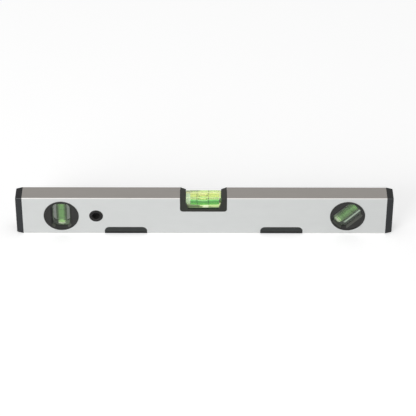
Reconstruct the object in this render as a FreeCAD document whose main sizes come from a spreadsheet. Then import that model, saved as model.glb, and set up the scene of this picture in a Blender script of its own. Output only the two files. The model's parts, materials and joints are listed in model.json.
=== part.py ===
import FreeCAD, Part
import math
import os
import Sketcher
from FreeCAD import Placement, Rotation, Vector

# Box-section spirit level with three vials, a hanging hole and two magnets in its base.
# Millimetres: X along the level, Y from its front face to its back face, Z up.
# The origin is under the middle of the level, on its measuring base.

doc = FreeCAD.newDocument("SpiritLevel")

# Driving dimensions
sizes = [
    ("profile_length", 386, "box section without its caps"),
    ("profile_height", 46.4, "base face to top face"),
    ("profile_depth", 20.5, "front face to back face"),
    ("side_wall", 1.4, "front and back walls"),
    ("base_wall", 2.2, "base and top walls, thicker because both are milled"),
    ("edge_round", 0.9, "outer long edges"),
    ("fit_gap", 0.15, "moulded piece to the cut-out it fits"),
    ("flush_gap", 0.1, "moulded inserts behind the front and back faces"),
    ("cap_head", 7, "how far an end cap stands out"),
    ("cap_land", 0.8, "part of the head that keeps the full section"),
    ("cap_taper", 1, "how much each side of the head draws in"),
    ("cap_bevel", 0.4, "rim of the cap's outer face"),
    ("cap_skin", 2.4, "thickness of the cap's outer face"),
    ("cap_plug", 14, "plug inside the box section"),
    ("cap_wall", 1.6, "walls of the hollow plug"),
    ("cap_rib", 1.4, "cross rib inside the plug"),
    ("plug_gap", 0.35, "plug to the box section's inner walls"),
    ("crush_height", 0.25, "crush ribs on the plug's wide sides"),
    ("crush_width", 1.2, "crush ribs, across"),
    ("plug_lead", 0.7, "bevel at the plug's tip"),
    ("window_inset", 41, "window centre from the box section's end"),
    ("rim_margin", 4.6, "metal left above and below a window rim"),
    ("rim_cover", 1.4, "how far a rim covers the metal round its hole"),
    ("rim_lift", 0.5, "rim in front of the face"),
    ("seat_lip", 0.5, "how far a housing's face covers the vial's edge"),
    ("slot_margin", 2.25, "housing left outside the corners of its view slot"),
    ("slot_bevel", 1.4, "bevel round the view slot"),
    ("tab_width", 1.8, "tabs that locate the housing halves, radially"),
    ("tab_height", 6, "tabs, along the vial"),
    ("tab_length", 2, "tabs, from the joint"),
    ("tab_gap", 0.1, "tab to its slot, all round"),
    ("vial_setback", 3, "vial behind the front and back faces"),
    ("seat_gap", 0.1, "vial to its seat"),
    ("end_vial_margin", 3.2, "window edge to the vial's end"),
    ("end_vial_corner", 4, "rounded corners of a window vial"),
    ("end_bore_wall", 1.9, "acrylic in front of a window vial's bore"),
    ("end_plug_length", 2.2, "plug of a window vial"),
    ("blind_wall", 2, "acrylic past a bore's closed end"),
    ("fluid_gap", 0.05, "fluid and plug to the bore"),
    ("gas_height", 2.4, "bubble over the fluid of a window vial, on its axis"),
    ("angle_tilt", 45, "lean of the angle vial, in degrees"),
    ("notch_width", 49.8, "cut-out in the top, across"),
    ("notch_depth", 17.4, "cut-out in the top, down from the top face"),
    ("notch_corner", 3, "lower corners of the cut-out"),
    ("notch_offset", -1, "cut-out's middle from the level's middle"),
    ("holder_side", 6.1, "side walls of the centre holder"),
    ("holder_floor", 2.75, "floor under the centre vial"),
    ("holder_lip", 0.6, "lips in front of and behind the centre vial"),
    ("holder_slope", 2.6, "fall of the holder's side walls towards the vial"),
    ("gusset_width", 2.6, "gussets between the lips and the side walls, along the level"),
    ("gusset_height", 7, "gussets, upwards"),
    ("centre_drop", 1.9, "centre vial below the top face"),
    ("centre_bore_wall", 1.5, "acrylic above the centre vial's bore"),
    ("centre_plug_length", 4.6, "plug of the centre vial"),
    ("bubble_length", 10, "centre bubble, along the level"),
    ("bubble_width", 7, "centre bubble, across"),
    ("bubble_sink", 3, "centre bubble, down from the bore's crest"),
    ("catch_reach", 1, "snap catches, outwards"),
    ("catch_rise", 2.5, "snap catches, along the wall"),
    ("hang_spacing", 37, "hanging hole from the window beside it"),
    ("hang_flange", 7.3, "radius of the bush's flange"),
    ("hang_sleeve", 5.75, "radius of the bush's sleeve"),
    ("hang_bore", 4.25, "radius of the hole in the bush"),
    ("hang_lift", 0.4, "flange in front of the face"),
    ("magnet_inset_left", 109.3, "left magnet's middle from its end of the box section"),
    ("magnet_inset_right", 110.8, "right magnet's middle from its end of the box section"),
    ("pad_length", 45, "magnet holder, along the level"),
    ("pad_height", 8.4, "magnet holder's top above the base"),
    ("pad_corner", 5, "upper corners of the magnet holder"),
    ("pad_lift", 0.2, "magnet holder's underside above the base"),
    ("panel_margin", 1.6, "plain border round the holder's sunk panel"),
    ("panel_depth", 0.4, "depth of that panel"),
    ("magnet_wall", 4.2, "holder in front of and behind the magnet"),
    ("magnet_length", 36, "bar magnet, along the level"),
    ("magnet_thickness", 5, "bar magnet, upwards"),
    ("magnet_lift", 0.5, "magnet's face above the base"),
    ("magnet_bevel", 0.4, "edges of the magnet's face"),
]

sheet = doc.addObject("Spreadsheet::Sheet", "Sizes")
for row, (alias, number, note) in enumerate(sizes, 1):
    sheet.set(f"A{row}", alias)
    sheet.set(f"B{row}", str(number))
    sheet.setAlias(f"B{row}", alias)
    sheet.set(f"C{row}", note)
doc.recompute()

# Sizes that follow from the driving ones
half_length = "Sizes.profile_length / 2"
half_depth = "Sizes.profile_depth / 2"
mid_height = "Sizes.profile_height / 2"
inner_half_depth = f"({half_depth} - Sizes.side_wall)"
insert_depth = "(Sizes.profile_depth - 2 * Sizes.flush_gap)"
tongue_depth = f"(2 * ({inner_half_depth} - Sizes.plug_gap))"
window_middle = f"({half_length} - Sizes.window_inset)"
rim_radius = f"({mid_height} - Sizes.rim_margin)"
hole_radius = f"({rim_radius} - Sizes.rim_cover)"
barrel_radius = f"({hole_radius} - Sizes.fit_gap)"
vial_depth = "(Sizes.profile_depth - 2 * Sizes.vial_setback)"
seat_depth = f"({vial_depth} / 2 + Sizes.seat_gap)"
end_vial_length = f"(2 * ({hole_radius} - Sizes.end_vial_margin))"
slot_corner = "(Sizes.end_vial_corner - Sizes.seat_lip)"
slot_half_long = f"({end_vial_length} / 2 - Sizes.seat_lip)"
slot_reach = f"({barrel_radius} - Sizes.slot_margin - {slot_corner})"
slot_half_wide = f"({slot_corner} + sqrt({slot_reach} ^ 2 - ({slot_half_long} - {slot_corner}) ^ 2))"
end_vial_width = f"(2 * ({slot_half_wide} + Sizes.seat_lip))"
end_bore = f"({vial_depth} / 2 - Sizes.end_bore_wall)"
holder_half = "(Sizes.notch_width / 2 - Sizes.fit_gap)"
holder_base = "(Sizes.profile_height - Sizes.notch_depth + Sizes.fit_gap)"
opening_half = f"({holder_half} - Sizes.holder_side)"
floor_top = f"({holder_base} + Sizes.holder_floor)"
centre_length = f"(2 * ({opening_half} - Sizes.seat_gap))"
centre_low = f"({floor_top} + Sizes.seat_gap)"
centre_top = "(Sizes.profile_height - Sizes.centre_drop)"
centre_height = f"({centre_top} - {centre_low})"
centre_bore = f"({centre_height} / 2 - Sizes.centre_bore_wall)"
magnet_width = f"({insert_depth} - 2 * Sizes.magnet_wall)"
hang_middle = f"(Sizes.hang_spacing - {window_middle})"

parts = []
tolerance = 1e-3  # how near counts as equal when edges are picked


def size(text):
    """The number that an expression on the sheet gives."""
    return float(sheet.evalExpression(text))


def newBody(label):
    """A body whose label names its file."""
    body = doc.addObject("PartDesign::Body", label)
    body.Label = label
    return body


def place(item, x="0", z="0", turn=None):
    """Move a finished piece to its place: turn is an axis and an angle in degrees."""
    if turn:
        axis, angle = turn
        item.Placement = Placement(Vector(), Rotation(axis, size(angle)))
        item.setExpression("Placement.Rotation.Angle", angle)
    item.setExpression("Placement.Base.x", x)
    item.setExpression("Placement.Base.z", z)
    parts.append(item)


def originPlane(body, plane):
    """One of the body's own origin planes."""
    return [item for item in body.Origin.OriginFeatures if item.Role == plane][0]


def makeSketch(body, plane, name, offset="0"):
    """A sketch on one of the body's own origin planes, moved along its normal."""
    sketch = body.newObject("Sketcher::SketchObject", name)
    sketch.AttachmentSupport = [(originPlane(body, plane), "")]
    sketch.MapMode = "FlatFace"
    sketch.setExpression("AttachmentOffset.Base.z", offset)
    return sketch


def pin(sketch, geometry, point, x, y):
    """Hold one point of a sketch at a place given by two expressions."""
    for kind, text in (("DistanceX", x), ("DistanceY", y)):
        number = sketch.addConstraint(Sketcher.Constraint(kind, -1, 1, geometry, point, size(text)))
        sketch.renameConstraint(number, f"{kind}{number}")
        sketch.setExpression(f"Constraints.{kind}{number}", text)


def setRadius(sketch, geometry, text):
    """Drive the radius of a circle or an arc."""
    number = sketch.addConstraint(Sketcher.Constraint("Radius", geometry, size(text)))
    sketch.renameConstraint(number, f"Radius{number}")
    sketch.setExpression(f"Constraints.Radius{number}", text)


def circle(sketch, x, y, radius):
    """A circle about a place."""
    middle = Vector(size(x), size(y), 0)
    index = sketch.addGeometry(Part.Circle(middle, Vector(0, 0, 1), size(radius)))
    pin(sketch, index, 3, x, y)
    setRadius(sketch, index, radius)


def outline(sketch, corners):
    """A closed outline through corners (x, y) or (x, y, radius), taken anticlockwise."""
    points = [Vector(size(corner[0]), size(corner[1]), 0) for corner in corners]
    radii = [size(corner[2]) if len(corner) > 2 else 0 for corner in corners]
    count = len(corners)
    arrive, leave, arcs = [], [], []
    for index, point in enumerate(points):
        back = (points[index - 1] - point).normalize()
        ahead = (points[(index + 1) % count] - point).normalize()
        if not radii[index]:
            arrive.append(point)
            leave.append(point)
            arcs.append(None)
            continue
        half = back.getAngle(ahead) / 2
        reach = radii[index] / math.tan(half)
        first, last = point + back * reach, point + ahead * reach
        middle = point + (back + ahead).normalize() * (radii[index] / math.sin(half))
        convex = back.cross(ahead).z < 0
        start, end = (first, last) if convex else (last, first)
        angles = [math.atan2(spot.y - middle.y, spot.x - middle.x) for spot in (start, end)]
        round_corner = Part.ArcOfCircle(Part.Circle(middle, Vector(0, 0, 1), radii[index]), *angles)
        arrive.append(first)
        leave.append(last)
        arcs.append((round_corner, convex))
    lines = []
    for index in range(count):
        side = Part.LineSegment(leave[index], arrive[(index + 1) % count])
        lines.append(sketch.addGeometry(side))
    for index, corner in enumerate(corners):
        before, after = lines[index - 1], lines[index]
        mark = sketch.addGeometry(Part.Point(points[index]), True)
        pin(sketch, mark, 1, corner[0], corner[1])
        if arcs[index] is None:
            sketch.addConstraint(Sketcher.Constraint("Coincident", before, 2, mark, 1))
            sketch.addConstraint(Sketcher.Constraint("Coincident", after, 1, mark, 1))
            continue
        round_corner, convex = arcs[index]
        bend = sketch.addGeometry(round_corner)
        start, end = (1, 2) if convex else (2, 1)
        sketch.addConstraint(Sketcher.Constraint("PointOnObject", mark, 1, before))
        sketch.addConstraint(Sketcher.Constraint("PointOnObject", mark, 1, after))
        sketch.addConstraint(Sketcher.Constraint("Tangent", before, 2, bend, start))
        sketch.addConstraint(Sketcher.Constraint("Tangent", bend, end, after, 1))
        setRadius(sketch, bend, corner[2])


def rectangle(sketch, left, right, low, high, radius=None):
    """A rectangle, with round corners where a radius is given."""
    more = (radius,) if radius else ()
    corners = ((left, low), (right, low), (right, high), (left, high))
    outline(sketch, [corner + more for corner in corners])


def pad(body, name, sketch, length, reverse=False, both=False):
    """Raise a sketch along its normal, against it, or both ways from its plane."""
    item = body.newObject("PartDesign::Pad", name)
    item.Profile = sketch
    item.setExpression("Length", length)
    item.Reversed = reverse
    item.SideType = "Symmetric" if both else "One side"
    return item


def pocket(body, name, sketch, length, reverse=False, both=False):
    """Cut a sketch into the body, against its normal unless it is reversed."""
    doc.recompute()
    before = body.Shape.Volume
    item = body.newObject("PartDesign::Pocket", name)
    item.Profile = sketch
    item.setExpression("Length", length)
    item.Reversed = reverse
    item.SideType = "Symmetric" if both else "One side"
    doc.recompute()
    if not 0 < item.Shape.Volume < before:
        raise ValueError(f"{name} cuts nothing from {body.Label}, or everything")
    return item


def turn(body, name, sketch, axis):
    """Turn a half section about one of its sketch's axes."""
    item = body.newObject("PartDesign::Revolution", name)
    item.Profile = sketch
    item.ReferenceAxis = (sketch, [axis])


def dress(body, name, amount, test):
    """Bevel the edges of the last feature that pass a test."""
    doc.recompute()
    base = body.Tip
    edges = [f"Edge{number}" for number, edge in enumerate(base.Shape.Edges, 1) if test(edge)]
    item = body.newObject("PartDesign::Chamfer", name)
    item.Base = (base, edges)
    item.setExpression("Size", amount)


def liesAt(edge, axis, number):
    """Whether a whole edge lies at one level along x, y or z."""
    box = edge.BoundBox
    low, high = getattr(box, f"{axis}Min"), getattr(box, f"{axis}Max")
    return abs(low - number) < tolerance and abs(high - number) < tolerance


def makeProfile():
    """Extruded box section, then milled: two windows, a hanging hole, a top notch, magnet slots."""
    body = newBody("profile")
    section = makeSketch(body, "YZ_Plane", "BoxSection")
    rectangle(section, f"-{half_depth}", half_depth, "0", "Sizes.profile_height", "Sizes.edge_round")
    rectangle(section, f"-{inner_half_depth}", inner_half_depth, "Sizes.base_wall",
              "Sizes.profile_height - Sizes.base_wall")
    pad(body, "Extrusion", section, "Sizes.profile_length", both=True)

    across = "2 * Sizes.profile_depth"
    holes = makeSketch(body, "XZ_Plane", "RoundHoles")
    circle(holes, f"-{window_middle}", mid_height, hole_radius)
    circle(holes, window_middle, mid_height, hole_radius)
    circle(holes, hang_middle, mid_height, "Sizes.hang_sleeve + Sizes.fit_gap")
    pocket(body, "MilledHoles", holes, across, both=True)

    notch = makeSketch(body, "XZ_Plane", "TopNotch")
    left = "Sizes.notch_offset - Sizes.notch_width / 2"
    right = "Sizes.notch_offset + Sizes.notch_width / 2"
    low = "Sizes.profile_height - Sizes.notch_depth"
    over = "Sizes.profile_height + Sizes.base_wall"
    outline(notch, [(left, low, "Sizes.notch_corner"), (right, low, "Sizes.notch_corner"),
                    (right, over), (left, over)])
    pocket(body, "MilledNotch", notch, across, both=True)

    slots = makeSketch(body, "XZ_Plane", "MagnetSlots")
    reach = "(Sizes.pad_length / 2 + Sizes.fit_gap)"
    high = "Sizes.pad_height + Sizes.fit_gap"
    corner = "Sizes.pad_corner + Sizes.fit_gap"
    for middle in (left_magnet, right_magnet):
        left, right = f"{middle} - {reach}", f"{middle} + {reach}"
        outline(slots, [(left, "-Sizes.base_wall"), (right, "-Sizes.base_wall"), (right, high, corner),
                        (left, high, corner)])
    pocket(body, "MilledSlots", slots, across, both=True)
    place(body)


def makeEndCap(label, side):
    """Moulded cap: a tapered head that covers the box section's end, and a hollow ribbed plug."""
    body = newBody(label)
    sections = []
    for name, level, inset in (("LandSection", "0", "0"),
                               ("TaperRoot", "Sizes.cap_land", "0"),
                               ("TaperShoulder", "Sizes.cap_head - Sizes.cap_bevel", "Sizes.cap_taper"),
                               ("HeadFace", "Sizes.cap_head", "(Sizes.cap_taper + Sizes.cap_bevel)")):
        section = makeSketch(body, "YZ_Plane", name, level)
        half = f"({half_depth} - {inset})"
        rectangle(section, f"-{half}", half, inset, f"Sizes.profile_height - {inset}", "Sizes.edge_round")
        sections.append(section)
    pad(body, "Land", sections[0], "Sizes.cap_land")
    head = body.newObject("PartDesign::AdditiveLoft", "TaperedHead")
    head.Profile = sections[1]
    head.Sections = sections[2:]
    head.Ruled = True

    plug_half = f"({inner_half_depth} - Sizes.plug_gap)"
    plug_low = "(Sizes.base_wall + Sizes.plug_gap)"
    plug_high = f"(Sizes.profile_height - {plug_low})"
    plug = makeSketch(body, "YZ_Plane", "PlugSection")
    rectangle(plug, f"-{plug_half}", plug_half, plug_low, plug_high)
    pad(body, "Plug", plug, "Sizes.cap_plug", reverse=True)
    end = -size("Sizes.cap_plug")
    dress(body, "PlugLead", "Sizes.plug_lead", lambda edge: liesAt(edge, "X", end))

    hollow = makeSketch(body, "YZ_Plane", "HollowSection", "-Sizes.cap_plug")
    rectangle(hollow, f"-({plug_half} - Sizes.cap_wall)", f"{plug_half} - Sizes.cap_wall",
              f"{plug_low} + Sizes.cap_wall", f"{plug_high} - Sizes.cap_wall")
    depth = "Sizes.cap_plug + Sizes.cap_head - Sizes.cap_skin"
    pocket(body, "Hollow", hollow, depth, reverse=True)

    rib = makeSketch(body, "YZ_Plane", "RibSection", "-Sizes.cap_plug + Sizes.plug_lead")
    rib_half = f"({plug_half} - Sizes.cap_wall / 2)"
    low, high = f"{mid_height} - Sizes.cap_rib / 2", f"{mid_height} + Sizes.cap_rib / 2"
    rectangle(rib, f"-{rib_half}", rib_half, low, high)
    pad(body, "CrossRib", rib, f"{depth} - Sizes.plug_lead")

    crush = makeSketch(body, "YZ_Plane", "CrushRibs")
    inside, outside = f"({plug_half} - Sizes.cap_wall / 2)", f"({plug_half} + Sizes.crush_height)"
    for share in (1, 3):
        level = f"{share} * Sizes.profile_height / 4"
        low, high = f"{level} - Sizes.crush_width / 2", f"{level} + Sizes.crush_width / 2"
        rectangle(crush, inside, outside, low, high)
        rectangle(crush, f"-{outside}", f"-{inside}", low, high)
    pad(body, "CrushRibPair", crush, "Sizes.cap_plug - 2 * Sizes.plug_lead", reverse=True)

    if side < 0:
        place(body, f"-{half_length}", turn=(Vector(0, 0, 1), "180"))
    else:
        place(body, half_length)


def makeHousingHalf(label, side, middle, tilt):
    """Half of a round vial housing, front (side -1) or back (side 1), up to the joint at mid depth.

    A turned rim and barrel, a bevelled slot in the face, a seat for the vial, and the tabs
    whose slots in the other half locate the two.
    """
    body = newBody(label)
    front = side < 0
    sign = "-" if front else ""
    rim_face = f"({half_depth} + Sizes.rim_lift)"
    rim = makeSketch(body, "YZ_Plane", "RimAndBarrel")
    corners = [(f"{sign}{rim_face}", "0"), ("0", "0"), ("0", barrel_radius),
               (f"{sign}{half_depth}", barrel_radius), (f"{sign}{half_depth}", rim_radius),
               (f"{sign}{rim_face}", rim_radius)]
    outline(rim, corners if front else corners[::-1])
    turn(body, "TurnedHalf", rim, "H_Axis")

    seat = makeSketch(body, "XZ_Plane", "VialSeat")
    wide, tall = f"({end_vial_width} / 2 + Sizes.seat_gap)", f"({end_vial_length} / 2 + Sizes.seat_gap)"
    rectangle(seat, f"-{wide}", wide, f"-{tall}", tall, "Sizes.end_vial_corner + Sizes.seat_gap")
    pocket(body, "Seat", seat, seat_depth, reverse=front)

    slot = makeSketch(body, "XZ_Plane", "ViewSlot")
    rectangle(slot, f"-{slot_half_wide}", slot_half_wide, f"-{slot_half_long}", slot_half_long, slot_corner)
    pocket(body, "Slot", slot, "Sizes.profile_depth", reverse=front)
    face = size(f"{sign}{rim_face}")
    reach = size(rim_radius)
    dress(body, "SlotBevel", "Sizes.slot_bevel",
          lambda edge: liesAt(edge, "Y", face) and edge.BoundBox.XMax < reach - tolerance)

    tabs = makeSketch(body, "XZ_Plane", "TabOutlines")
    gap = "0" if front else "Sizes.tab_gap"
    tab_middle = f"(({wide} + {barrel_radius}) / 2)"
    near = f"({tab_middle} - Sizes.tab_width / 2 - {gap})"
    far = f"({tab_middle} + Sizes.tab_width / 2 + {gap})"
    tall = f"(Sizes.tab_height / 2 + {gap})"
    rectangle(tabs, near, far, f"-{tall}", tall)
    rectangle(tabs, f"-{far}", f"-{near}", f"-{tall}", tall)
    if front:
        pad(body, "Tabs", tabs, "Sizes.tab_length", reverse=True)
    else:
        pocket(body, "TabSlots", tabs, "Sizes.tab_length + Sizes.tab_gap")
    place(body, middle, mid_height, (Vector(0, 1, 0), tilt))


def makeLevelGas(name, tilt):
    """The space over the fluid of a window vial, whose surface lies level however the vial leans."""
    body = newBody(f"{name}_gas")
    surface = makeSketch(body, "XY_Plane", "FluidSurface")
    reach = "Sizes.profile_depth"
    rectangle(surface, f"-{reach}", reach, f"-{reach}", reach)
    pad(body, "Gas", surface, reach)
    body.Placement = Placement(Vector(), Rotation(Vector(0, 1, 0), -size(tilt)))
    body.setExpression("Placement.Rotation.Angle", tilt)
    body.setExpression("Placement.Base.z", f"{end_vial_length} / 2 - Sizes.blind_wall - Sizes.gas_height")
    return body


def makeBubble(name):
    """The bubble at the crest of a lying vial's bore."""
    body = newBody(f"{name}_gas")
    middle = "(Sizes.centre_plug_length - Sizes.blind_wall) / 2"
    end = makeSketch(body, "XY_Plane", "BubbleCircle", f"{middle} - Sizes.bubble_length / 2")
    circle(end, f"Sizes.bubble_sink - {centre_bore} - Sizes.bubble_width / 2", "0", "Sizes.bubble_width / 2")
    pad(body, "Bubble", end, "Sizes.bubble_length")
    return body


def makeVial(name, middle, height, tilt, block, gas):
    """Acrylic block with its bore, the fluid with the bubble taken out of it, and the plug.

    The block stands upright while it is drawn, its bore open below, and is leaned by tilt.
    """
    long, wide, bore, plug_length, *corner = block
    axis = Vector(0, 1, 0)
    mouth, deep = f"-{long} / 2", f"({long} - Sizes.blind_wall)"
    filling = f"({bore} - Sizes.fluid_gap)"

    body = newBody(f"{name}_vial")
    face = makeSketch(body, "XZ_Plane", "BlockOutline")
    rectangle(face, f"-{wide} / 2", f"{wide} / 2", f"-{long} / 2", f"{long} / 2", *corner)
    pad(body, "Block", face, vial_depth, both=True)
    bored = makeSketch(body, "XY_Plane", "BoreCircle", mouth)
    circle(bored, "0", "0", bore)
    pocket(body, "Bore", bored, deep, reverse=True)
    place(body, middle, height, (axis, tilt))

    column = newBody(f"{name}_column")
    foot = makeSketch(column, "XY_Plane", "ColumnCircle", f"{mouth} + {plug_length} + Sizes.fluid_gap")
    circle(foot, "0", "0", filling)
    pad(column, "FluidColumn", foot, f"{deep} - {plug_length} - 2 * Sizes.fluid_gap")
    fluid = doc.addObject("Part::Cut", f"{name}_fluid")
    fluid.Base = column
    fluid.Tool = gas
    doc.recompute()
    if not fluid.Shape.Volume < column.Shape.Volume:
        raise ValueError(f"{gas.Name} lies outside the fluid")
    place(fluid, middle, height, (axis, tilt))

    stopper = newBody(f"{name}_plug")
    disc = makeSketch(stopper, "XY_Plane", "PlugCircle", mouth)
    circle(disc, "0", "0", filling)
    pad(stopper, "Plug", disc, plug_length)
    place(stopper, middle, height, (axis, tilt))


def addCatches(body, wall, level, slope):
    """Snap catches: wedges on both side walls, at level, that thin out along slope."""
    catches = makeSketch(body, "XZ_Plane", "CatchWedges")
    for way in ("", "-"):
        root, reach = f"{way}({wall})", f"{way}({wall} + Sizes.catch_reach)"
        tip = [(root, level), (reach, level), (root, slope)]
        upward = size(slope) > size(level)
        outline(catches, tip if upward == (way == "") else tip[::-1])
    pad(body, "Catches", catches, tongue_depth, both=True)


def makeCentreHolder():
    """Moulded cradle in the top notch, with a seat for the block between two lips."""
    body = newBody("centre_holder")
    shape = makeSketch(body, "XZ_Plane", "CradleOutline")
    corner = "Sizes.notch_corner - Sizes.fit_gap"
    shoulder = "Sizes.profile_height - Sizes.holder_slope"
    lip_top = f"{floor_top} + Sizes.holder_lip"
    top = "Sizes.profile_height"
    gusset_foot = f"({opening_half} - Sizes.gusset_width)"
    gusset_top = f"{lip_top} + Sizes.gusset_height"
    outline(shape, [(f"-{holder_half}", holder_base, corner), (holder_half, holder_base, corner),
                    (holder_half, top), (opening_half, shoulder), (opening_half, gusset_top),
                    (gusset_foot, lip_top), (f"-{gusset_foot}", lip_top),
                    (f"-{opening_half}", gusset_top), (f"-{opening_half}", shoulder),
                    (f"-{holder_half}", top)])
    pad(body, "Cradle", shape, insert_depth, both=True)
    seat = makeSketch(body, "XY_Plane", "BlockSeat", gusset_top)
    seat_half = f"({vial_depth} / 2 + Sizes.seat_gap)"
    rectangle(seat, f"-{opening_half}", opening_half, f"-{seat_half}", seat_half)
    pocket(body, "Seat", seat, "Sizes.holder_lip + Sizes.gusset_height")
    under = "Sizes.profile_height - Sizes.base_wall - Sizes.fit_gap"
    addCatches(body, holder_half, under, f"{under} - Sizes.catch_rise")
    place(body, "Sizes.notch_offset")


def makeHangBush():
    """Bush of the hanging hole, pressed in from the front: a flange and a sleeve."""
    body = newBody("hang_bush")
    face = f"({half_depth} + Sizes.hang_lift)"
    back = f"({half_depth} - Sizes.flush_gap)"
    section = makeSketch(body, "YZ_Plane", "BushSection")
    outline(section, [(f"-{face}", "Sizes.hang_bore"), (back, "Sizes.hang_bore"), (back, "Sizes.hang_sleeve"),
                      (f"-{half_depth}", "Sizes.hang_sleeve"), (f"-{half_depth}", "Sizes.hang_flange"),
                      (f"-{face}", "Sizes.hang_flange")])
    turn(body, "TurnedBush", section, "H_Axis")
    place(body, hang_middle, mid_height)


def makeMagnetPair(name, middle):
    """A moulded holder in a base slot, and the bar magnet that it holds just clear of the base."""
    body = newBody(f"magnet_holder_{name}")
    shape = makeSketch(body, "XZ_Plane", "HolderOutline")
    reach = "Sizes.pad_length / 2"
    high, corner = "Sizes.pad_height", "Sizes.pad_corner"
    outline(shape, [(f"-{reach}", "Sizes.pad_lift"), (reach, "Sizes.pad_lift"), (reach, high, corner),
                    (f"-{reach}", high, corner)])
    pad(body, "Holder", shape, insert_depth, both=True)

    panel = makeSketch(body, "XZ_Plane", "SunkPanel", f"{insert_depth} / 2")
    inside = f"({reach} - Sizes.panel_margin)"
    low, high = "Sizes.pad_lift + Sizes.panel_margin", "Sizes.pad_height - Sizes.panel_margin"
    corner = "Sizes.pad_corner - Sizes.panel_margin"
    outline(panel, [(f"-{inside}", low), (inside, low), (inside, high, corner),
                    (f"-{inside}", high, corner)])
    sunk = pocket(body, "FrontPanel", panel, "Sizes.panel_depth")
    mirrored = body.newObject("PartDesign::Mirrored", "BackPanel")
    mirrored.Originals = [sunk]
    mirrored.MirrorPlane = (originPlane(body, "XZ_Plane"), [""])
    body.Tip = mirrored

    seat = makeSketch(body, "XY_Plane", "MagnetSeat", "Sizes.pad_lift")
    wide, deep = "(Sizes.magnet_length / 2 + Sizes.fit_gap)", f"({magnet_width} / 2 + Sizes.fit_gap)"
    rectangle(seat, f"-{wide}", wide, f"-{deep}", deep)
    deep = "Sizes.magnet_lift + Sizes.magnet_thickness + Sizes.seat_gap - Sizes.pad_lift"
    pocket(body, "Seat", seat, deep, reverse=True)
    over = "Sizes.base_wall + Sizes.fit_gap"
    addCatches(body, reach, over, f"{over} + Sizes.catch_rise")
    place(body, middle)

    bar = newBody(f"magnet_{name}")
    shape = makeSketch(bar, "XY_Plane", "BarOutline", "Sizes.magnet_lift")
    half = "Sizes.magnet_length / 2"
    rectangle(shape, f"-{half}", half, f"-{magnet_width} / 2", f"{magnet_width} / 2")
    pad(bar, "Bar", shape, "Sizes.magnet_thickness")
    level = size("Sizes.magnet_lift")
    dress(bar, "FaceEdges", "Sizes.magnet_bevel", lambda edge: liesAt(edge, "Z", level))
    place(bar, middle)


left_magnet = f"(Sizes.magnet_inset_left - {half_length})"
right_magnet = f"({half_length} - Sizes.magnet_inset_right)"

makeProfile()
makeEndCap("end_cap_left", -1)
makeEndCap("end_cap_right", 1)

end_block = (end_vial_length, end_vial_width, end_bore, "Sizes.end_plug_length", "Sizes.end_vial_corner")
windows = (("plumb", f"-{window_middle}", "0"), ("angle", window_middle, "Sizes.angle_tilt"))
for name, middle, tilt in windows:
    makeHousingHalf(f"{name}_housing_front", -1, middle, tilt)
    makeHousingHalf(f"{name}_housing_rear", 1, middle, tilt)
    makeVial(name, middle, mid_height, tilt, end_block, makeLevelGas(name, tilt))

makeCentreHolder()
centre_block = (centre_length, centre_height, centre_bore, "Sizes.centre_plug_length")
centre_middle = f"({centre_low} + {centre_top}) / 2"
makeVial("centre", "Sizes.notch_offset", centre_middle, "90", centre_block, makeBubble("centre"))

makeHangBush()
makeMagnetPair("left", left_magnet)
makeMagnetPair("right", right_magnet)

doc.recompute()
for item in doc.Objects:
    if "Invalid" in item.State or "Error" in item.State:
        raise ValueError(f"{item.Name} has failed: {item.State}")
for item in parts:
    if item.Shape.isNull() or not item.Shape.isValid():
        raise ValueError(f"{item.Label} has no valid shape")

os.makedirs("parts", exist_ok=True)
for item in parts:
    item.Shape.exportStep(f"parts/{item.Label}.step")
    box = item.Shape.BoundBox
    print(f"{item.Label}: {len(item.Shape.Solids)} solid, {item.Shape.Volume:.0f} mm3, "
          f"x {box.XMin:.2f} to {box.XMax:.2f}, y {box.YMin:.2f} to {box.YMax:.2f}, "
          f"z {box.ZMin:.2f} to {box.ZMax:.2f}")
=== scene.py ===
import json
import bmesh
import bpy
import numpy as np
from math import cos, radians, sin
from mathutils import Matrix, Vector


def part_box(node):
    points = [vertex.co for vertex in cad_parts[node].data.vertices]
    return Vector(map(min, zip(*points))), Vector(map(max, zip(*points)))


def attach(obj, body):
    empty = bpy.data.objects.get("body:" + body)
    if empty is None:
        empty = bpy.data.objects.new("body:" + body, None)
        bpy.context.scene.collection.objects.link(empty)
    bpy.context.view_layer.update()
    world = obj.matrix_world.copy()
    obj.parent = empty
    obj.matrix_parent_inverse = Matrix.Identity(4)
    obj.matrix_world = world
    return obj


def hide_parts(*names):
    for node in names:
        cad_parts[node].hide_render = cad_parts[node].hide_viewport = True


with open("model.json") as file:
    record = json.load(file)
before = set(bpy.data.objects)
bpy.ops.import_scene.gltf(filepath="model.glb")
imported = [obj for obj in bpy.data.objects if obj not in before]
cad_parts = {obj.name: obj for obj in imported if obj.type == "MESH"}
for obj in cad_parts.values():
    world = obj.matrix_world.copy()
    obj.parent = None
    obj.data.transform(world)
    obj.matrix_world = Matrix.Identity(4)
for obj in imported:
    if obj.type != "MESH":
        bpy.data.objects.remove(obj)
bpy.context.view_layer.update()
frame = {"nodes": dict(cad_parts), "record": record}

mm = 0.001
tilts = {"plumb": 0, "angle": 45, "centre": 90}  # lean of each vial about the depth axis
weld = 1e-7  # points nearer than this are one
sharpAngle = 40  # edges steeper than this stay sharp


def extent(node):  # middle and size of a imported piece, as arrays in metres
    low, high = (np.array(corner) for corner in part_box(node))
    return (low + high) / 2, high - low


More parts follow.
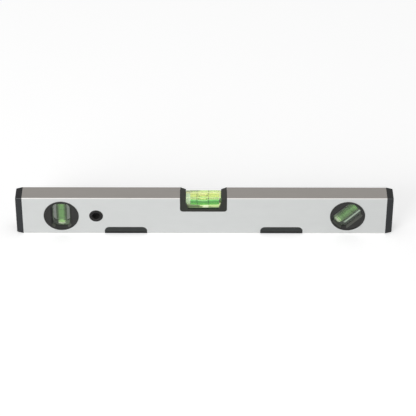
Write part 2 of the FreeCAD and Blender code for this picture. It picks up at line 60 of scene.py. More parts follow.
# shaders are written with these two: a socket that takes arithmetic, and a tree that any node is added to
class Wire:
    def __init__(self, paint, socket):
        self.paint, self.socket = paint, socket

    def work(self, operation, first, second):
        return self.paint.add("ShaderNodeMath", {"operation": operation}, {0: first, 1: second})

    def __add__(self, other):
        return self.work("ADD", self, other)

    def __radd__(self, other):
        return self.work("ADD", other, self)

    def __sub__(self, other):
        return self.work("SUBTRACT", self, other)

    def __mul__(self, other):
        return self.work("MULTIPLY", self, other)

    def __rmul__(self, other):
        return self.work("MULTIPLY", other, self)

    def __truediv__(self, other):
        return self.work("DIVIDE", self, other)

    def __abs__(self):
        return self.work("ABSOLUTE", self, 0)

    def above(self, level):
        return self.work("GREATER_THAN", self, level)

    def below(self, level):
        return self.work("LESS_THAN", self, level)


class Paint:
    def __init__(self, owner):  # owner is a material or the world
        owner.use_nodes = True
        self.owner, self.tree = owner, owner.node_tree
        self.tree.nodes.clear()

    def add(self, kind, settings=None, values=None, out=0):
        node = self.tree.nodes.new(kind)
        for key, value in (settings or {}).items():
            setattr(node, key, value)
        for key, value in (values or {}).items():
            if isinstance(value, Wire):
                self.tree.links.new(value.socket, node.inputs[key])
            elif isinstance(value, tuple) and node.inputs[key].type == "RGBA":
                node.inputs[key].default_value = (*value[:3], 1)
            else:
                node.inputs[key].default_value = value
        return Wire(self, node.outputs[out])

    def blend(self, amount, first, second, way="MIX"):  # mixes two colours
        values = {0: amount, 6: first, 7: second}
        return self.add("ShaderNodeMix", {"data_type": "RGBA", "blend_type": way}, values, out=2)

    def shade(self, colour, factor):  # a colour times a number
        return self.blend(1.0, colour, self.grey(factor), "MULTIPLY")

    def grey(self, value):  # a number as a colour
        return self.add("ShaderNodeCombineColor", values={0: value, 1: value, 2: value})

    def ramp(self, value, low, high):  # 0 up to low, 1 from high, smooth between
        settings = {"interpolation_type": "SMOOTHSTEP"}
        return self.add("ShaderNodeMapRange", settings, {"Value": value, "From Min": low, "From Max": high})

    def spot(self):  # place on the piece, in metres
        return self.add("ShaderNodeTexCoord", out="Object")

    def split(self, vector):
        return [self.add("ShaderNodeSeparateXYZ", values={0: vector}, out=axis) for axis in range(3)]

    def vialSpot(self, name):
        # place in a vial's own frame: across it, in depth, and along it towards its closed end
        across, side, up = self.split(self.spot())
        middle, lean = extent(f"{name}_vial")[0], radians(tilts[name])
        across, up = across - float(middle[0]), up - float(middle[2])
        return across * cos(lean) - up * sin(lean), side, across * sin(lean) + up * cos(lean)

    def facing(self):  # how far the surface faces along x, y and z
        return self.split(self.add("ShaderNodeNewGeometry", out="Normal"))

    def noise(self, scale, stretch=(1, 1, 1), detail=2):
        spread = self.add("ShaderNodeMapping", values={"Vector": self.spot(), "Scale": stretch})
        values = {"Vector": spread, "Scale": scale, "Detail": detail}
        return self.add("ShaderNodeTexNoise", values=values)

    def bump(self, height, strength, distance=0.1 * mm):
        values = {"Height": height, "Strength": strength, "Distance": distance}
        return self.add("ShaderNodeBump", values=values)

    def surface(self, **sockets):
        values = {key.replace("_", " "): value for key, value in sockets.items()}
        return self.add("ShaderNodeBsdfPrincipled", values=values)

    def swap(self, amount, first, second):  # mixes two shaders
        return self.add("ShaderNodeMixShader", values={0: amount, 1: first, 2: second})

    def output(self, shader, kind="Material"):
        end = self.tree.nodes.new(f"ShaderNodeOutput{kind}")
        self.tree.links.new(shader.socket, end.inputs["Surface"])
        return self.owner


def newPaint(name):
    return Paint(bpy.data.materials.new(name))


def srgb(*colour):  # a colour as read on a screen, 0 to 255, made linear
    return tuple(((value / 255 + 0.055) / 1.055) ** 2.4 if value > 10 else value / 3295 for value in colour)


def makePiece(name, vertices, faces, material, sharp=sharpAngle):
    mesh = bpy.data.meshes.new(name)
    mesh.from_pydata(vertices.tolist(), [], faces.tolist())
    work = bmesh.new()
    work.from_mesh(mesh)
    bmesh.ops.remove_doubles(work, verts=work.verts, dist=weld)
    bmesh.ops.dissolve_degenerate(work, edges=work.edges, dist=weld)
    bmesh.ops.recalc_face_normals(work, faces=work.faces)
    work.to_mesh(mesh)
    work.free()
    mesh.shade_smooth()
    mesh.set_sharp_from_angle(angle=radians(sharp))
    mesh.materials.append(material)
    piece = bpy.data.objects.new(name, mesh)
    bpy.context.scene.collection.objects.link(piece)
    return piece


def addPiece(name, rings, place, material, closed=False, stands=None, sharp=sharpAngle):
    # a piece of this object: rings skinned, leaned and placed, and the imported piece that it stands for
    vertices, faces = skin(rings, closed)
    piece = makePiece(name, leanAndPlace(vertices, *place), faces, material, sharp)
    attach(piece, "root")
    if stands:
        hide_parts(stands)


def skin(rings, closed):
    # quads between neighbouring rings of points, an array (rings, around, 3)
    # closed joins the last ring to the first
    count, around = rings.shape[:2]
    rows = np.arange(count if closed else count - 1)[:, None]
    spots = np.arange(around)[None, :]
    ahead, beside = (rows + 1) % count, (spots + 1) % around
    corners = (rows * around + spots, rows * around + beside,
               ahead * around + beside, ahead * around + spots)
    return rings.reshape(-1, 3), np.stack(corners, axis=-1).reshape(-1, 4)


def sectionRings(sections, around):
    # each section (half width, half height, corner radius, depth) is a ring at equal angles about the
    # depth axis: on a side the reach is the half size over the cosine or sine, round a corner it is where
    # ray and arc meet, and a circle is a section whose three sizes are equal
    wide, tall, corner, depth = np.array(sections, float).T[:, :, None]
    angle = np.linspace(0, 2 * np.pi, around, endpoint=False)[None, :]
    hair = 1e-9  # keeps the divisions below from dividing by nothing
    across, along = np.maximum(np.abs(np.cos(angle)), hair), np.maximum(np.abs(np.sin(angle)), hair)
    flatWide, flatTall = wide - corner, tall - corner
    toward = flatWide * across + flatTall * along
    arc = toward + np.sqrt(np.maximum(toward ** 2 - flatWide ** 2 - flatTall ** 2 + corner ** 2, 0))
    side, end = wide / across, tall / along
    reach = np.where(side * along <= flatTall, side, np.where(end * across <= flatWide, end, arc))
    return np.stack([reach * np.cos(angle), depth + 0 * reach, reach * np.sin(angle)], axis=-1)


def turned(profile, around):
    # rings about the upright axis: each profile point (radius, height) carried round a full circle
    profile = np.array(profile)
    angle = np.linspace(0, 2 * np.pi, around, endpoint=False)
    ring = np.stack([np.cos(angle), np.sin(angle)], axis=-1)
    flat = profile[:, None, :1] * ring[None, :, :]
    height = np.broadcast_to(profile[:, None, 1:], (len(profile), around, 1))
    return np.concatenate([flat, height], axis=-1)


def quarterRound(radius, steps=5):  # (inwards, back) steps round a quarter circle, from a face to a side
    turn = np.linspace(0, np.pi / 2, steps)
    return np.stack([radius * (1 - np.sin(turn)), radius * (1 - np.cos(turn))], axis=-1)


def leanAndPlace(points, tilt, middle):  # turned about Y by tilt degrees, then moved to its middle
    turn = np.array(Matrix.Rotation(radians(tilt), 3, "Y"))
    return points @ turn.T + np.array(middle)


aluminium = {
    "face": srgb(213, 215, 214),
    "milled": srgb(157, 152, 147),
    # the edge colour is a painted highlight along the long rounded edges
    "edge": srgb(241, 239, 236),
    "milledFrom": 0.92,  # how far up or down a surface faces to count as the milled top or base, darker also as painted shade
    "edgeFrom": 0.2,  # and to count as one of the long edges, which carry a painted highlight
    "endFrom": 0.3,  # a surface that faces the ends more than this is no edge
    "streaks": {"scale": 900, "stretch": (0.02, 1, 1), "detail": 3},
    "cloud": {"scale": 120, "stretch": (0.5, 1, 1), "detail": 3},
    "grain": 0.05,
    "faceStreaks": 0.6,
    "milledStreaks": 1.6,  # added to those of the faces
    "relief": 0.05,
    "metallic": 0.3,
    "roughness": 0.42,
}


def makeAluminium():
    # silver anodised sides; a milled top and base, darker also as painted shade; and a painted highlight
    # along the long edges between them
    paint = newPaint("silver aluminium")
    across, up = paint.facing()[::2]
    milled = abs(up).above(aluminium["milledFrom"])
    slanting = abs(up).above(aluminium["edgeFrom"]) * abs(up).below(aluminium["milledFrom"])
    edge = slanting * abs(across).below(aluminium["endFrom"])
    streaks = paint.noise(**aluminium["streaks"])
    cloud = paint.noise(**aluminium["cloud"])
    colour = paint.blend(milled, aluminium["face"], aluminium["milled"])
    colour = paint.blend(edge, colour, aluminium["edge"])
    lines = (streaks - 0.5) * (aluminium["faceStreaks"] + aluminium["milledStreaks"] * milled)
    colour = paint.shade(colour, 1 + aluminium["grain"] * (lines + (cloud - 0.5)))
    return paint.output(paint.surface(
        Base_Color=colour, Metallic=aluminium["metallic"], Roughness=aluminium["roughness"],
        Normal=paint.bump(streaks, aluminium["relief"])))


plastics = {  # colours of sides, of tops, and of slanting edges up to edgeTo; tops and edges are the same plastic in painted light and shade
    "cap_plastic": {
        "side": srgb(50, 52, 54), "top": srgb(19, 20, 21), "edge": srgb(88, 90, 92), "roughness": 0.45},
    "housing_plastic": {
        "side": srgb(51, 51, 50), "top": srgb(40, 41, 38), "edge": srgb(82, 84, 78), "roughness": 0.4,
        "edgeTo": 0.68},
    "holder_plastic": {
        "side": srgb(50, 52, 47), "top": srgb(46, 47, 42), "edge": srgb(80, 82, 78), "roughness": 0.42,
        "lip": srgb(196, 205, 172)},  # its front lip, where light from the vial falls on it
    "magnet_holder_plastic": {
        "side": srgb(57, 59, 58), "top": srgb(40, 42, 41), "edge": srgb(85, 87, 85), "roughness": 0.42},
    "bush_plastic": {
        "side": srgb(34, 33, 33), "top": srgb(40, 39, 38), "edge": srgb(50, 49, 48), "roughness": 0.45},
}
moulding = {  # what all the black plastics share
    "topFrom": 0.85,  # how far up a surface faces to count as a top
    "edgeFrom": 0.25,  # and as an edge
    "lipWidth": 0.6 * mm,  # of the lit strip of the lip
    "lipHeight": 1 * mm,  # over the vial's foot, how far up the lip counts
    "shine": 0.2,  # specular level
    "mottle": 0.22,  # slight flow marks
    "mottleScale": 260,
    "grain": 0.08,
    "grainScale": 2500,
}


def besideVial(paint):  # 1 on the strip of the holder's lip that lies along the front of the centre vial
    side, height = paint.split(paint.spot())[1:]
    front, foot = (float(number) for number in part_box("centre_vial")[0][1:])
    near = side.above(front - moulding["lipWidth"]) * side.below(front)
    return near * height.below(foot + moulding["lipHeight"])


def makePlastic(slotName):
    black = plastics[slotName]
    paint = newPaint("black " + slotName.replace("_", " "))
    # tops are painted in their own light and shade, slanting edges with a painted highlight, and the
    # holder's lip beside the centre vial pale with painted light from the vial
    up = paint.facing()[2]
    top = up.above(moulding["topFrom"])
    edge = up.above(moulding["edgeFrom"]) * up.below(black.get("edgeTo", moulding["topFrom"]))
    colour = paint.blend(top, black["side"], black["top"])
    colour = paint.blend(edge, colour, black["edge"])
    if "lip" in black:
        colour = paint.blend(besideVial(paint) * top, colour, black["lip"])
    mottle = moulding["mottle"] * (paint.noise(moulding["mottleScale"], detail=4) - 0.5)
    grain = paint.noise(moulding["grainScale"], detail=1)
    return paint.output(paint.surface(
        Base_Color=paint.shade(colour, 1 + mottle), Roughness=black["roughness"] + mottle,
        Specular_IOR_Level=moulding["shine"], Normal=paint.bump(grain, moulding["grain"])))


magnet = {
    "plating": srgb(160, 160, 165),
    "roughness": 0.3,
    "lines": {"scale": 1500, "stretch": (1, 0.05, 1), "detail": 3},  # fine grinding lines across it
    "contrast": 0.2,
    "relief": 0.1,
}


def makeMagnetMetal():
    paint = newPaint("nickel-plated magnet")
    lines = paint.noise(**magnet["lines"]) - 0.5
    change = magnet["contrast"] * lines
    return paint.output(paint.surface(
        Base_Color=paint.shade(magnet["plating"], 1 + change), Metallic=1.0,
        Roughness=magnet["roughness"] + change, Normal=paint.bump(lines, magnet["relief"])))


acrylicIndex = 1.49  # how strongly it bends light


def clearPart(paint, colour):
    return paint.surface(Base_Color=colour, Roughness=0.0, IOR=acrylicIndex, Transmission_Weight=1.0)


centreBlock = {
    "colour": srgb(250, 252, 246),
    "underHeight": 0.2 * mm,  # how far up the pale underside reaches
    # the pale underside also glows, as painted light
    "under": srgb(248, 244, 196),
    "underRoughness": 0.6,
    "underGlow": 0.3,
    # painted shade on the pale underside: duller along its front, with a slanting and patchy border
    "front": srgb(178, 174, 148),
    "frontFade": (-2.4 * mm, -0.6 * mm),
    "frontSlant": 0.25,
    "patchReach": 5 * mm,
    "patches": {"scale": 160, "stretch": (1, 0.6, 1)},
    # painted shade: darker over its left half, in front
    "left": srgb(128, 132, 106),
    "leftFade": (-3.5 * mm, -6.5 * mm),
    "leftDepth": (2.5 * mm, 0.5 * mm),
    # and a bright spot of gathered light near the middle
    "spot": (2.2, 2.2, 1.7),
    "spotMiddle": 1.2 * mm,
    "spotFade": (3.8 * mm, 2.2 * mm),
    "spotDepth": (1.2 * mm, -0.5 * mm),
    # glint along the front of the top face
    "glint": srgb(245, 250, 190),
    "glintShare": 0.35,
    "glintFade": (-4.9 * mm, -6 * mm),
    "glintGlow": 1.2,
    "glintRoughness": 0.3,
    "topFrom": 0.9,  # how far up a surface faces to count as the top face
}


def makeCentreAcrylic():
    # clear block of the centre vial, with its pale underside, which glows as painted light and carries
    # painted shade, and the painted glint on its top face
    paint = newPaint("clear acrylic")
    across, side, height = paint.split(paint.spot())
    patches = centreBlock["patchReach"] * (paint.noise(**centreBlock["patches"]) - 0.5)
    border = side + centreBlock["frontSlant"] * across + patches
    back = paint.ramp(border, *centreBlock["frontFade"])
    tint = paint.blend(back, centreBlock["front"], centreBlock["under"])
    left = paint.ramp(across + patches, *centreBlock["leftFade"])
    left = left * paint.ramp(side, *centreBlock["leftDepth"])
    tint = paint.blend(left, tint, centreBlock["left"])
    spot = paint.ramp(abs(across - centreBlock["spotMiddle"]), *centreBlock["spotFade"])
    spot = spot * paint.ramp(side, *centreBlock["spotDepth"])
    underside = paint.surface(
        Base_Color=tint, Roughness=centreBlock["underRoughness"],
        Emission_Color=paint.blend(spot, tint, centreBlock["spot"]),
        Emission_Strength=centreBlock["underGlow"])
    bright = paint.surface(
        Base_Color=(0.0, 0.0, 0.0), Roughness=centreBlock["glintRoughness"],
        Emission_Color=centreBlock["glint"], Emission_Strength=centreBlock["glintGlow"])
    top = paint.facing()[2].above(centreBlock["topFrom"])
    glint = top * paint.ramp(side, *centreBlock["glintFade"]) * centreBlock["glintShare"]
    foot = float(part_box("centre_vial")[0][2])
    block = paint.swap(glint, clearPart(paint, centreBlock["colour"]), bright)
    return paint.output(paint.swap(height.below(foot + centreBlock["underHeight"]), block, underside))


windowBlock = {
    # a grey tint: painted shade of what lies behind, seen through the block
    "colour": srgb(126, 132, 124),
    "rimFrom": 0.5,  # a surface that faces front or back less than this is the matt rim
    "rimRoughness": 0.7,
    # the rim glows a little: painted light
    "rimGlow": 0.8,
    # its sides in painted light and shade: dull near their own face and towards the foot, lighter behind,
    # most on the leaning vial
    "sideFrontShade": srgb(70, 73, 69),
    "sideRearLit": {"plumb": srgb(114, 123, 114), "angle": srgb(214, 226, 216)},
    "sideFade": {"plumb": (-1.5 * mm, 1.5 * mm), "angle": (0.8 * mm, 3.4 * mm)},
    "sideFoot": {"plumb": (2 * mm, 4.5 * mm), "angle": (0.8 * mm, 3 * mm)},
    # and its foot round the plug, in painted shade, darker towards one side
    "footHeight": 1.2 * mm,
    "footShade": srgb(60, 65, 58),
    "footLit": srgb(120, 134, 112),
    "footFade": {"plumb": (-5 * mm, 1 * mm), "angle": (4 * mm, -2 * mm)},
}


def makeWindowAcrylic(name):
    # grey-tinted block of a window vial, the tint a painted shade for the shadowed floor seen through it,
    # with a matt rim painted in light and shade and glowing as painted light
    paint = newPaint(f"{name} window acrylic")
    across, side, along = paint.vialSpot(name)
    foot = -float(extent("plumb_vial")[1][2]) / 2
    low, high = (foot + rise for rise in windowBlock["sideFoot"][name])
    light = paint.ramp(side, *windowBlock["sideFade"][name]) * paint.ramp(along, low, high)
    sides = paint.blend(light, windowBlock["sideFrontShade"], windowBlock["sideRearLit"][name])
    footLit = paint.ramp(across, *windowBlock["footFade"][name])
    footTint = paint.blend(footLit, windowBlock["footShade"], windowBlock["footLit"])
    tint = paint.blend(along.below(foot + windowBlock["footHeight"]), sides, footTint)
    matt = paint.surface(
        Base_Color=tint, Roughness=windowBlock["rimRoughness"],
        Emission_Color=tint, Emission_Strength=windowBlock["rimGlow"])
    rim = abs(paint.facing()[1]).below(windowBlock["rimFrom"])
    return paint.output(paint.swap(rim, clearPart(paint, windowBlock["colour"]), matt))


# the fluids glow a little where light reaches them, as painted light
centreFluid = {  # heights are shares of the bore's radius, -1 at its lowest line and 1 at its crest
    "clearness": 0.9,
    "glow": 0.45,
    # lime along the crest, where light comes in from above
    "lime": srgb(250, 249, 172),
    "limeGlow": srgb(60, 75, 20),
    "limeFade": (0.6, 0.78),
    # green in front, and pale behind as painted light
    "green": srgb(70, 155, 70),
    "greenGlow": srgb(88, 182, 84),
    "rear": srgb(200, 222, 168),
    "rearFade": (-0.15, 0.2),
    # light caught along the back
    "backGlow": srgb(130, 136, 112),
    "backFade": (0.0, 0.4),
    # a darker band of painted shade low in front
    "deep": srgb(45, 115, 48),
    "deepGlow": srgb(60, 130, 55),
    "deepTop": (-0.1, -0.3),
    "deepFoot": (-0.6, -0.42),
    # the bubble's outline in front, a painted highlight: a bow, lowest in its middle
    "rimGlow": srgb(205, 248, 182),
    "rimHeight": 0.38,
    "rimBow": 0.12,
    "rimHalf": 4.5 * mm,
    "rimFade": (0.18, 0.06),
    "rimEnds": (1.15, 0.9),
    "bubbleShift": -2.1 * mm,  # from the fluid's middle
}


def makeCentreFluid():
    paint = newPaint("lime fluid")
    across, side, height = paint.split(paint.spot())
    middle, reach = extent("centre_fluid")
    radius = float(reach[2] / 2)
    climb = (height - float(middle[2])) / radius
    depth = (side - float(middle[1])) / radius
    crest = paint.ramp(climb, *centreFluid["limeFade"])
    rear = paint.ramp(depth, *centreFluid["rearFade"])
    deep = paint.ramp(climb, *centreFluid["deepTop"]) * paint.ramp(climb, *centreFluid["deepFoot"])

    front = paint.blend(deep, centreFluid["green"], centreFluid["deep"])
    colour = paint.blend(crest, paint.blend(rear, front, centreFluid["rear"]), centreFluid["lime"])

    # the bow's height grows with the square of the way from the bubble's middle
    aside = (across - float(middle[0]) - centreFluid["bubbleShift"]) / centreFluid["rimHalf"]
    off = abs(climb - centreFluid["rimHeight"] - centreFluid["rimBow"] * (aside * aside))
    rim = paint.ramp(off, *centreFluid["rimFade"]) * paint.ramp(abs(aside), *centreFluid["rimEnds"])
    front = paint.blend(deep, centreFluid["greenGlow"], centreFluid["deepGlow"])
    front = paint.blend(rim, front, centreFluid["rimGlow"])
    glow = paint.blend(crest, paint.blend(rear, front, centreFluid["limeGlow"]), centreFluid["limeGlow"])
    glow = paint.blend(paint.ramp(depth, *centreFluid["backFade"]), glow, centreFluid["backGlow"])
    return paint.output(paint.surface(
        Base_Color=colour, Roughness=0.0, IOR=1.0, Transmission_Weight=centreFluid["clearness"],
        Emission_Color=glow, Emission_Strength=centreFluid["glow"]))


windowFluid = {
    "clearness": 0.9,
    "glow": 0.34,
    "middle": srgb(165, 215, 155),
    "middleGlow": srgb(160, 203, 132),
    "edge": srgb(128, 147, 119),
    "edgeGlow": srgb(84, 100, 74),
    "edgeFade": (0.3, 0.85),  # from the bore's axis to its wall, as shares of its radius
    "foot": srgb(205, 222, 195),
    "footFade": (1.2 * mm, 3 * mm),  # over the plug
}


def makeWindowFluid(name):
    # painted light and shade: greenest in the middle of the bore, where it is thickest, darker towards its
    # wall, and pale over the plug, with a glow
    paint = newPaint(f"{name} green fluid")
    across, along = paint.vialSpot(name)[::2]
    radius = float(extent("plumb_fluid")[1][1] / 2)
    plugTop = float(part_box("plumb_fluid")[0][2] - extent("plumb_vial")[0][2])
    low, high = (plugTop + rise for rise in windowFluid["footFade"])
    edge = paint.ramp(abs(across) / radius, *windowFluid["edgeFade"])
    colour = paint.blend(edge, windowFluid["middle"], windowFluid["edge"])
    colour = paint.blend(paint.ramp(along, low, high), windowFluid["foot"], colour)
    return paint.output(paint.surface(
        Base_Color=colour, Roughness=0.0, IOR=1.0, Transmission_Weight=windowFluid["clearness"],
        Emission_Color=paint.blend(edge, windowFluid["middleGlow"], windowFluid["edgeGlow"]),
        Emission_Strength=windowFluid["glow"]))


# the bubble glows, paler in front: painted light
air = {
    "colour": srgb(240, 232, 226),
    "index": 0.69,  # air against the fluid round it
    "backGlow": srgb(60, 55, 40),
    "frontGlow": srgb(190, 225, 165),
    "frontFade": (-1 * mm, -2.8 * mm),
    "glow": 0.25,
}


def makeAir():
    paint = newPaint("air in the fluid")
    front = paint.ramp(paint.split(paint.spot())[1], *air["frontFade"])
    return paint.output(paint.surface(
        Base_Color=air["colour"], Roughness=0.0, IOR=air["index"], Transmission_Weight=1.0,
        Emission_Color=paint.blend(front, air["backGlow"], air["frontGlow"]), Emission_Strength=air["glow"]))


# the plugs glow: painted light
plug = {
    "roughness": 0.35,
    "clearness": 0.2,
    "window": (srgb(226, 231, 214), 0.58),  # colour and glow
    "green": (srgb(203, 224, 186), 0.23),
}


def makePlugPlastic(kind):
    paint = newPaint(f"pale {kind} plug")
    colour, glow = plug[kind]
    return paint.output(paint.surface(
        Base_Color=colour, Roughness=plug["roughness"], Transmission_Weight=plug["clearness"],
        Emission_Color=colour, Emission_Strength=glow))


ink = {"colour": srgb(20, 60, 30), "roughness": 0.5}


def makeInk():
    paint = newPaint("reading line ink")
    return paint.output(paint.surface(Base_Color=ink["colour"], Roughness=ink["roughness"]))


finishes = {slotName: makePlastic(slotName) for slotName in plastics}
finishes["box_aluminium"] = makeAluminium()
finishes["magnet_metal"] = makeMagnetMetal()
blockFinishes = {name: makeWindowAcrylic(name) for name in ("plumb", "angle")}
blockFinishes["centre"] = makeCentreAcrylic()
fluidFinishes = {name: makeWindowFluid(name) for name in ("plumb", "angle")}
fluidFinishes["centre"] = makeCentreFluid()
plugFinishes = dict.fromkeys(("plumb", "angle"), makePlugPlastic("window"))
plugFinishes["centre"] = makePlugPlastic("green")
airFinish, inkFinish = makeAir(), makeInk()
print("finishes made")

recordSlots = {part["node"]: part["material_slot"] for part in frame["record"]["subparts"]}
for node, piece in frame["nodes"].items():
    slotName = "magnet_holder_plastic" if node.startswith("magnet_holder") else recordSlots[node]
    if slotName in finishes:
        for slot in piece.material_slots:
            slot.material = finishes[slotName]
print("packed pieces dressed")

housing = {
    "around": 192,
    "ringWidth": 1.5 * mm,  # raised ring round the face
    "ringLean": 0.1 * mm,  # draft of the ring's inner wall
    "ringRound": 0.22 * mm,
    "faceSink": 0.3 * mm,  # face behind that ring
    "bevelWidth": 2 * mm,
    "bevelDepth": 2.4 * mm,
    "barrelInset": 1.55 * mm,  # barrel's radius, less than the ring's
    "seatGap": 0.1 * mm,
    "seatCorner": 4.1 * mm,
    "sideLip": 0.15 * mm,  # how far the slot's long sides and its ends cover the vial
    "endLip": 0,
    "slotCorner": 5.2 * mm,
    "sharp": 30,
}


def makeHousing(name, half):
    # the cross-section of a housing half as a closed loop of rings:
    # slot, bevel, face, raised ring, barrel and seat
    node = f"{name}_housing_{half}"
    middle = extent(node)[0]
    low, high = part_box(node)
    way = -1 if half == "front" else 1
    face = abs(low[1] if half == "front" else high[1])
    metal = abs(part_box("profile")[0][1])
    rim = extent("plumb_housing_front")[1][0] / 2
    vialWide, vialDeep, vialTall = extent("plumb_vial")[1] / 2
    gap = housing["seatGap"]
    slot = np.array([vialWide - housing["sideLip"], vialTall - housing["endLip"], housing["slotCorner"]])
    seat = np.array([vialWide + gap, vialTall + gap, housing["seatCorner"]])
    seatDepth = vialDeep + gap
    sunk = face - housing["faceSink"]
    ring, barrel = rim - housing["ringWidth"], rim - housing["barrelInset"]
    ringTop = ring + housing["ringLean"]
    sections = [(*slot, seatDepth), (*slot, sunk - housing["bevelDepth"]),
                (*(slot + housing["bevelWidth"]), sunk), (ring, ring, ring, sunk),
                (ringTop, ringTop, ringTop, face)]
    for inwards, back in quarterRound(housing["ringRound"]):
        radius = rim - inwards
        sections.append((radius, radius, radius, face - back))
    sections += [(rim, rim, rim, metal), (barrel, barrel, barrel, metal), (barrel, barrel, barrel, 0),
                 (*seat, 0), (*seat, seatDepth)]
    rings = sectionRings(sections, housing["around"]) * np.array([1, way, 1])
    place = tilts[name], (middle[0], 0, middle[2])
    addPiece(f"{node}_moulding", rings, place, finishes["housing_plastic"],
             closed=True, stands=node, sharp=housing["sharp"])


for name in ("plumb", "angle"):
    for half in ("front", "rear"):
        makeHousing(name, half)
print("vial housings moulded")

bush = {
    "around": 96,
    "mouthRound": 0.6 * mm,
    "flangeRound": 0.3 * mm,
    "bore": 4.25 * mm,
    "sleeve": 5.75 * mm,
}


def makeBush():
    # flange and sleeve as a closed loop of circles about the depth axis, rounded at the mouth and the flange
    middle, size = extent("hang_bush")
    low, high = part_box("hang_bush")
    face, back, metal = low[1], high[1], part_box("profile")[0][1]
    flange, bore, sleeve = size[0] / 2, bush["bore"], bush["sleeve"]
    path = [(bore, back)]
    for inwards, down in quarterRound(bush["mouthRound"])[::-1]:
        path.append((bore + inwards, face + down))
    for inwards, down in quarterRound(bush["flangeRound"]):
        path.append((flange - inwards, face + down))
    path += [(flange, metal), (sleeve, metal), (sleeve, back)]
    rings = sectionRings([(radius, radius, radius, depth) for radius, depth in path], bush["around"])
    place = 0, (middle[0], 0, middle[2])
    addPiece("hang_bush_moulding", rings, place, finishes["bush_plastic"],
             closed=True, stands="hang_bush")


makeBush()
print("hanging bush moulded")

vial = {
    "around": 72,
    "blockAround": 192,
    "blockSharp": 25,
    "bevel": 0.3 * mm,
    "corner": {"plumb": 4 * mm, "angle": 4 * mm, "centre": 0.8 * mm},
    "blind": 2 * mm,  # acrylic past the bore's closed end
    "relief": 0.4 * mm,  # how much wider the bore is in its middle than at its ends
    "lineGap": {"plumb": 11 * mm, "angle": 11 * mm, "centre": 12.2 * mm},
    # lines and bubble from the fluid's middle
    "lineShift": {"plumb": 0, "angle": 0, "centre": centreFluid["bubbleShift"]},
    "lineWidth": {"plumb": 0.25 * mm, "angle": 0.25 * mm, "centre": 0.45 * mm},
    "lineDepth": 0.06 * mm,
    "plugRadius": {"plumb": 3.8 * mm, "angle": 3.8 * mm, "centre": 4.6 * mm},
    "plugGap": 0.05 * mm,
}


def barrelRadius(radius, share):  # share of the way from the middle to an end, -1 to 1
    return radius + vial["relief"] * (1 - share ** 2)


def barrelProfile(radius, low, high, steps=17):
    share = np.linspace(-1, 1, steps)
    height = low + (share + 1) / 2 * (high - low)
    wall = np.stack([barrelRadius(radius, share), height], axis=-1)
    return np.concatenate([[[0, low]], wall, [[0, high]]])


def makeVial(name):
    # drawn upright about its own middle with its closed end up, then leaned and placed
    pattern = "centre" if name == "centre" else "plumb"  # both window vials share one size
    place = tilts[name], extent(f"{name}_vial")[0]
    upright = 0 if name == "centre" else 2  # the axis that the pattern's vial is long in
    size, corner, bevel = extent(f"{pattern}_vial")[1], vial["corner"][name], vial["bevel"]
    length, depth, width = size[upright], size[1], size[2 - upright]
    radius = extent(f"{pattern}_fluid")[1][1] / 2
    plugLength = extent(f"{pattern}_plug")[1][upright]
    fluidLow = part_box(f"{pattern}_fluid")[0][upright] - extent(f"{pattern}_vial")[0][upright]
    fluidHigh = length / 2 - vial["blind"]

    edge, face = (width / 2, length / 2, corner), (width / 2 - bevel, length / 2 - bevel, corner - bevel)
    sections = [(0, 0, 0, -depth / 2), (*face, -depth / 2), (*edge, bevel - depth / 2),
                (*edge, depth / 2 - bevel), (*face, depth / 2), (0, 0, 0, depth / 2)]
    addPiece(f"{name}_vial_block", sectionRings(sections, vial["blockAround"]), place,
             blockFinishes[name], stands=f"{name}_vial", sharp=vial["blockSharp"])
    column = turned(barrelProfile(radius, fluidLow, fluidHigh), vial["around"])
    addPiece(f"{name}_fluid_column", column, place,
             fluidFinishes[name], stands=f"{name}_fluid")

    plugRadius, gap = vial["plugRadius"][name], vial["plugGap"]
    low, high = gap - length / 2, plugLength - gap - length / 2
    disc = turned([(0, low), (plugRadius, low), (plugRadius, high), (0, high)], vial["around"])
    addPiece(f"{name}_plug_disc", disc, place, plugFinishes[name], stands=f"{name}_plug")

    # two reading lines: flat bands round the bore, the same way from its middle
    for side, way in (("low", -1), ("high", 1)):
        offset = vial["lineShift"][name] + way * vial["lineGap"][name] / 2
        level = (fluidLow + fluidHigh) / 2 + offset
        inner = barrelRadius(radius, 2 * offset / (fluidHigh - fluidLow))
        outer = inner + vial["lineDepth"]
        low, high = level - vial["lineWidth"][name] / 2, level + vial["lineWidth"][name] / 2
        band = turned([(inner, low), (outer, low), (outer, high), (inner, high)], vial["around"])
        addPiece(f"{name}_line_{side}", band, place, inkFinish, closed=True)
    return place, radius, fluidLow, fluidHigh


bubble = {
    "centre": (4.6 * mm, 7.2 * mm, 10.4 * mm),  # thickness, width and length
    "rise": 2.35 * mm,  # the centre bubble's middle over the bore's axis
    "window": 3 * mm,  # height of a window vial's bubble
    "wall": 0.15 * mm,  # fluid round the bubble
    "shoulder": 0.6,  # power of the cosine that widens a window vial's bubble
    "steps": 25,
    "around": 48,
}


def makeBubble(name, place, radius, low, high):
    # an egg: half sizes times the cosine and sine of two angles
    climb = np.linspace(-np.pi / 2, np.pi / 2, bubble["steps"])
    if name == "centre":
        size, shoulder = np.array(bubble["centre"]), 1
        shift = np.array([-bubble["rise"], 0, (low + high) / 2 + vial["lineShift"][name]])
    else:
        reach = 2 * (radius - bubble["wall"])
        size, shoulder = np.array([reach, reach, bubble["window"]]), bubble["shoulder"]
        shift = np.array([0, 0, high - bubble["window"] / 2 - bubble["wall"]])
    profile = np.stack([np.maximum(np.cos(climb), 0) ** shoulder, np.sin(climb)], axis=-1)
    rings = turned(profile, bubble["around"]) * size / 2 + shift
    addPiece(f"{name}_bubble", rings, place, airFinish)


for name in tilts:
    makeBubble(name, *makeVial(name))
print("vials made")

view = {  # the photograph's own angle
    "target": (3.824 * mm, 0, 26.254 * mm),
    "elevation": 0.6374,  # in radians, as are the next two
    "yaw": -0.0027,
    "roll": 0.0028,
    "distance": 2085.1 * mm,
    "lens": 169.44,
    "sensor": 36,
    "clipEnd": 20,
}


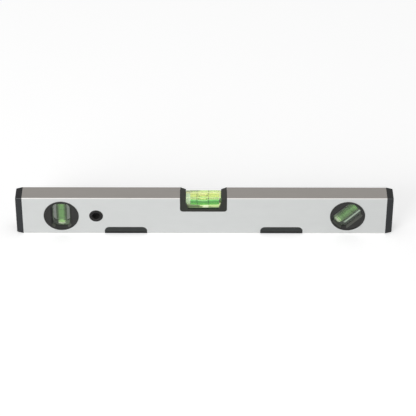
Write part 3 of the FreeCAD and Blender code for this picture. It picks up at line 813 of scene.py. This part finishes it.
def makeCamera():
    up, yaw, roll = view["elevation"], view["yaw"], view["roll"]
    back = Vector((sin(yaw) * cos(up), -cos(yaw) * cos(up), sin(up)))
    right = Vector((cos(yaw), sin(yaw), 0))
    above = back.cross(right)
    level = cos(roll) * right + sin(roll) * above
    upright = cos(roll) * above - sin(roll) * right
    data = bpy.data.cameras.new("studio camera")
    data.lens, data.sensor_width, data.sensor_fit = view["lens"], view["sensor"], "HORIZONTAL"
    data.clip_end = view["clipEnd"]
    camera = bpy.data.objects.new("studio camera", data)
    bpy.context.scene.collection.objects.link(camera)
    turn = Matrix((level, upright, back)).transposed().to_4x4()
    camera.matrix_world = Matrix.Translation(Vector(view["target"]) + back * view["distance"]) @ turn
    bpy.context.scene.camera = camera


studio = {
    "floorHalf": 6,
    "floorLevel": -0.03 * mm,  # a hair under the base, so that the two don't share a plane
    "floorColour": (0.82, 0.82, 0.82),
    "floorRoughness": 0.9,
    "floorGlow": 0.47,
    "backdrop": (1.0, 1.0, 1.0),
    "ambient": 0.4,
    "aim": (0, 0, 20 * mm),
    "lamps": (  # name, place, size, power
        ("key softbox", (-1.35, -1.95, 0.85), 1.4, 33.5),
        ("fill softbox", (1.6, -1.8, 0.8), 1.4, 2.5),
        ("top softbox", (0.2, 0.3, 2.2), 1.8, 5),
    ),
}


def lookingRays(paint):  # 1 for rays that look straight at the background, or see it in metal or glass
    kinds = ("Is Camera Ray", "Is Glossy Ray", "Is Transmission Ray")
    seen = [paint.add("ShaderNodeLightPath", out=kind) for kind in kinds]
    return (seen[0] + seen[1] + seen[2]).above(0.5)


def makeFloor():
    paint = newPaint("pale floor")
    finish = paint.output(paint.surface(
        Base_Color=studio["floorColour"], Roughness=studio["floorRoughness"], Specular_IOR_Level=0.0,
        Emission_Color=paint.grey(lookingRays(paint)), Emission_Strength=studio["floorGlow"]))
    half, level = studio["floorHalf"], studio["floorLevel"]
    corners = np.array([(-half, -half, level), (half, -half, level),
                        (half, half, level), (-half, half, level)])
    makePiece("studio_floor", corners, np.array([[0, 1, 2, 3]]), finish)


def makeBackdrop():
    world = bpy.data.worlds.new("studio")
    bpy.context.scene.world = world
    paint = Paint(world)
    strength = studio["ambient"] + (1 - studio["ambient"]) * lookingRays(paint)
    values = {"Color": studio["backdrop"], "Strength": strength}
    paint.output(paint.add("ShaderNodeBackground", values=values), "World")


def makeLamp(name, place, size, power):
    data = bpy.data.lights.new(name, "AREA")
    data.size, data.energy = size, power
    lamp = bpy.data.objects.new(name, data)
    bpy.context.scene.collection.objects.link(lamp)
    aim = (Vector(studio["aim"]) - Vector(place)).to_track_quat("-Z", "Y")
    lamp.matrix_world = Matrix.Translation(place) @ aim.to_matrix().to_4x4()


makeCamera()
makeFloor()
makeBackdrop()
for lamp in studio["lamps"]:
    makeLamp(*lamp)
bpy.context.scene.view_settings.view_transform = "Standard"
print("studio set")
